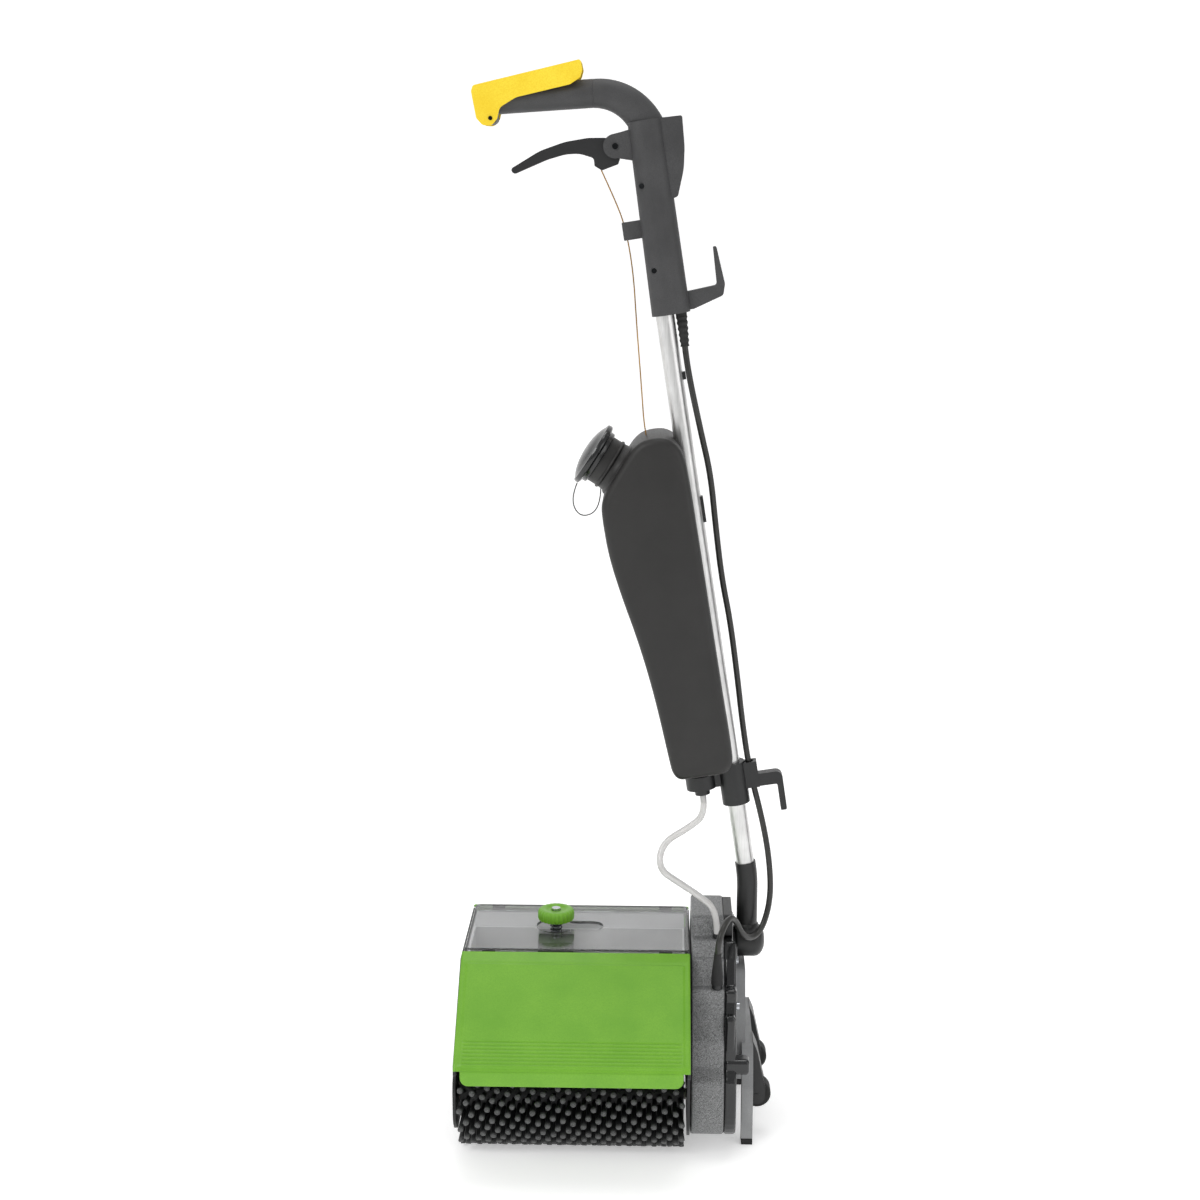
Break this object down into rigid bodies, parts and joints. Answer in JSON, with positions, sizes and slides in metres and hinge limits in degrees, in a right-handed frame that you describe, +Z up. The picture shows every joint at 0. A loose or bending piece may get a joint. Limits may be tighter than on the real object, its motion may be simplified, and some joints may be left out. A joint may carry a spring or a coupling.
{
  "type": "wet dry floor scrubber",
  "caption": "Upright wet and dry floor scrubber: low head with two cylindrical brushes, side gearbox and stand, and a leaning tube handle with solution tank, trigger grip and valve lever.",
  "frame": {"origin": "middle of the footprint's bounding box at floor level", "axes": "+X along the brushes towards the gearbox and handle, +Y to the rear, +Z up"},
  "size_m": [0.3474, 0.353, 1.1134],
  "materials": {
    "green_plastic": "glossy moulded",
    "yellow_plastic": "glossy moulded",
    "tank_plastic": "blow moulded, satin",
    "housing_plastic": "fine spark-eroded texture",
    "black_plastic": "glossy moulded",
    "satin_black_plastic": "satin",
    "hammered_grey": "hammered paint",
    "light_grey_paint": "powder coated",
    "grey_tray_plastic": "moulded",
    "clear_plastic": "smoky clear, polished",
    "silver_tube": "silver lacquer",
    "zinc_steel": "zinc plated",
    "bristle_nylon": "tufted nylon",
    "rubber_black": "moulded",
    "gear_plastic": "natural acetal",
    "hose_clear": "milky clear",
    "lead_black": "cable sheath",
    "copper_wire": "coated wire"
  },
  "bodies": {
    "head": {"gear_pins": "zinc_steel", "gearbox_casing": "hammered_grey", "head_inlets": "satin_black_plastic", "gear_cover": "black_plastic", "gear_cover_screws": "zinc_steel", "casing_top_cap": "satin_black_plastic", "pivot_shaft": "zinc_steel", "shaft_bushes": "gear_plastic", "right_end_plate": "hammered_grey", "left_end_plate": "hammered_grey", "brush_bearing_plate": "hammered_grey", "tie_rods": "zinc_steel", "motor_housing": "hammered_grey", "motor_cover": "satin_black_plastic", "side_stand": "light_grey_paint", "stand_feet": "rubber_black", "wheel_arms": "satin_black_plastic", "solution_hose": "hose_clear"},
    "front_brush": {"front_brush_gear": "gear_plastic", "front_brush_core": "satin_black_plastic", "front_bristles": "bristle_nylon"},
    "rear_brush": {"rear_brush_gear": "gear_plastic", "rear_brush_core": "satin_black_plastic", "rear_bristles": "bristle_nylon"},
    "compound_idler": {"compound_idler_gear": "gear_plastic"},
    "rear_idler": {"rear_idler_gear": "gear_plastic"},
    "reduction": {"reduction_gear": "gear_plastic"},
    "drum": {"drum_gear": "gear_plastic", "transport_drum": "zinc_steel"},
    "motor": {"motor_rotor": "zinc_steel"},
    "recovery_tank": {"recovery_tray": "grey_tray_plastic", "scraper_blade": "rubber_black", "knob_bracket": "satin_black_plastic", "knob_spring": "zinc_steel"},
    "top_cover": {"clear_top_cover": "clear_plastic", "top_cover_clips": "black_plastic"},
    "knob_stem": {"knob_stud": "zinc_steel"},
    "knob": {"adjusting_knob": "green_plastic"},
    "front_guard": {"front_cover": "green_plastic"},
    "rear_guard": {"rear_cover": "green_plastic"},
    "front_wheel": {"front_transport_wheel": "rubber_black"},
    "rear_wheel": {"rear_transport_wheel": "rubber_black"},
    "handle": {"yoke": "black_plastic", "handle_tube": "silver_tube", "lower_sleeve": "satin_black_plastic", "tube_clamp": "housing_plastic", "outlet_fitting": "satin_black_plastic", "solution_tank": "tank_plastic", "housing_front_half": "housing_plastic", "housing_rear_half": "housing_plastic", "grip_sleeve": "housing_plastic", "handle_pins_and_screws": "zinc_steel", "tube_clips": "satin_black_plastic", "motor_lead": "lead_black", "pull_wire": "copper_wire", "cap_tether": "lead_black"},
    "valve": {"valve_rod": "satin_black_plastic"},
    "cap": {"filler_cap": "black_plastic"},
    "trigger": {"trigger": "yellow_plastic"},
    "lever": {"solution_lever": "housing_plastic"}
  },
  "joints": [
    {"name": "front_brush_spin", "type": "hinge", "parent": "head", "child": "front_brush", "pos_m": [-0.0507, -0.075, 0.055], "axis": [1, 0, 0], "continuous": true},
    {"name": "rear_brush_spin", "type": "hinge", "parent": "head", "child": "rear_brush", "pos_m": [-0.0507, 0.075, 0.055], "axis": [1, 0, 0], "continuous": true},
    {"name": "compound_idler_spin", "type": "hinge", "parent": "head", "child": "compound_idler", "pos_m": [0.0853, -0.021, 0.055], "axis": [1, 0, 0], "continuous": true},
    {"name": "rear_idler_spin", "type": "hinge", "parent": "head", "child": "rear_idler", "pos_m": [0.0853, 0.021, 0.055], "axis": [1, 0, 0], "continuous": true},
    {"name": "reduction_spin", "type": "hinge", "parent": "head", "child": "reduction", "pos_m": [0.0853, 0.05593, 0.11818], "axis": [1, 0, 0], "continuous": true},
    {"name": "motor_spin", "type": "hinge", "parent": "head", "child": "motor", "pos_m": [0.0093, 0.052, 0.16], "axis": [1, 0, 0], "continuous": true},
    {"name": "drum_spin", "type": "hinge", "parent": "head", "child": "drum", "pos_m": [-0.0507, 0, 0.09309], "axis": [1, 0, 0], "continuous": true},
    {"name": "recovery_tank_lift", "type": "slide", "parent": "head", "child": "recovery_tank", "axis": [0, 0, 1], "range_m": [0, 0.11], "deforming": ["solution_hose"]},
    {"name": "top_cover_lift", "type": "slide", "parent": "recovery_tank", "child": "top_cover", "axis": [0, 0, 1], "range_m": [0, 0.06], "deforming": ["solution_hose"]},
    {"name": "knob_press", "type": "slide", "parent": "recovery_tank", "child": "knob_stem", "axis": [0, 0, 1], "range_m": [-0.006, 0], "stiffness_N_per_m": 1500, "springref_m": 0.002, "deforming": ["knob_spring"]},
    {"name": "knob_turn", "type": "hinge", "parent": "knob_stem", "child": "knob", "pos_m": [-0.0717, 0.0035, 0.224], "axis": [0, 0, 1], "continuous": true},
    {"name": "front_cover_lift", "type": "slide", "parent": "head", "child": "front_guard", "axis": [0, -0.6462, 0.7632], "range_m": [0, 0.07]},
    {"name": "rear_cover_lift", "type": "slide", "parent": "head", "child": "rear_guard", "axis": [0, 0.6462, 0.7632], "range_m": [0, 0.07]},
    {"name": "front_wheel_spin", "type": "hinge", "parent": "head", "child": "front_wheel", "pos_m": [0.1443, -0.046, 0.046], "axis": [0, 1, 0], "continuous": true},
    {"name": "rear_wheel_spin", "type": "hinge", "parent": "head", "child": "rear_wheel", "pos_m": [0.1443, 0.046, 0.046], "axis": [0, 1, 0], "continuous": true},
    {"name": "handle_swing", "type": "hinge", "parent": "head", "child": "handle", "pos_m": [0.1333, 0, 0.199], "axis": [1, 0, 0], "range_deg": [-70, 70], "deforming": ["motor_lead", "solution_hose"]},
    {"name": "trigger_squeeze", "type": "hinge", "parent": "handle", "child": "trigger", "pos_m": [-0.13153, 0, 1.05776], "axis": [0, 1, 0], "range_deg": [0, 6], "stiffness_Nm_per_rad": 4, "springref_deg": -5.73},
    {"name": "solution_lever_squeeze", "type": "hinge", "parent": "handle", "child": "lever", "pos_m": [-0.00898, 0, 1.03089], "axis": [0, 1, 0], "range_deg": [0, 20], "stiffness_Nm_per_rad": 1, "springref_deg": -11.46, "deforming": ["pull_wire"]},
    {"name": "valve_lift", "type": "slide", "parent": "handle", "child": "valve", "axis": [-0.153, 0, 0.9882], "range_m": [0, 0.0075]},
    {"name": "filler_cap_lift", "type": "slide", "parent": "handle", "child": "cap", "axis": [-0.8429, 0, 0.538], "range_m": [0, 0.03], "deforming": ["cap_tether"]}
  ],
  "couplings": [
    {"joint": "rear_brush_spin", "follows": "front_brush_spin", "ratio": -1},
    {"joint": "compound_idler_spin", "follows": "front_brush_spin", "ratio": -1.5714},
    {"joint": "rear_idler_spin", "follows": "front_brush_spin", "ratio": 1.5714},
    {"joint": "reduction_spin", "follows": "front_brush_spin", "ratio": 1},
    {"joint": "motor_spin", "follows": "front_brush_spin", "ratio": -3.6667},
    {"joint": "drum_spin", "follows": "front_brush_spin", "ratio": 0.54817},
    {"joint": "valve_lift", "follows": "solution_lever_squeeze", "m_per_rad": 0.0206}
  ]
}
